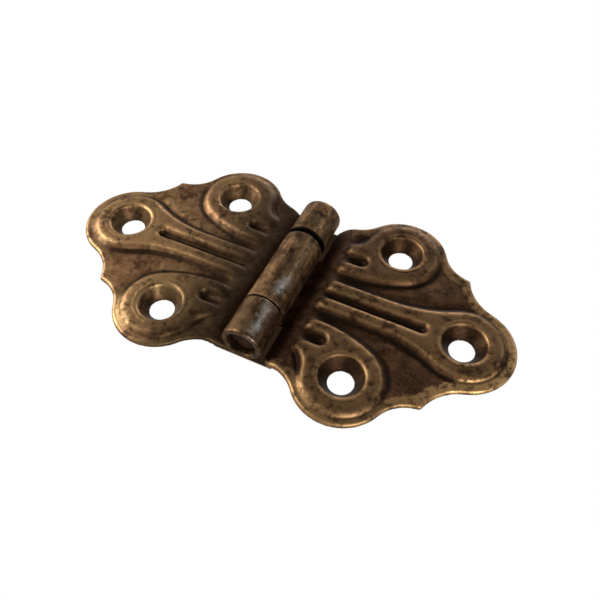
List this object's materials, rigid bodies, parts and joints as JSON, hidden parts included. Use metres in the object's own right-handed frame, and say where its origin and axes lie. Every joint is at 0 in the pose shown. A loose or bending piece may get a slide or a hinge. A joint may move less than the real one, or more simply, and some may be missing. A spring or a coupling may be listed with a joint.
{
  "type": "butterfly hinge",
  "caption": "Pressed sheet-brass butterfly hinge with scalloped, fluted leaves, countersunk screw holes and rolled knuckles that turn on a plain pin.",
  "frame": {"origin": "middle of the barrel's length, under its axis, at the barrel's lowest line, 1.6 mm below the leaves' mounting face", "axes": "+X from the barrel to the right leaf's tip, +Y along the barrel to the rear, +Z out of the front face"},
  "size_m": [0.076, 0.0412, 0.0067],
  "materials": {
    "left_brass": "aged sheet brass, brown patina worn to gold on the crests and edges",
    "right_brass": "aged sheet brass, darker brown patina with worn olive-gold flanges",
    "pin_steel": "plain wire pin, brown with old dirt and rust at its ends"
  },
  "bodies": {
    "fixed_leaf": {"left_leaf": "left_brass", "hinge_pin": "pin_steel"},
    "swing_leaf": {"right_leaf": "right_brass"}
  },
  "joints": [
    {"name": "leaf_swing", "type": "hinge", "parent": "fixed_leaf", "child": "swing_leaf", "pos_m": [0, 0, 0.00335], "axis": [0, -1, 0], "range_deg": [-85, 180]}
  ]
}
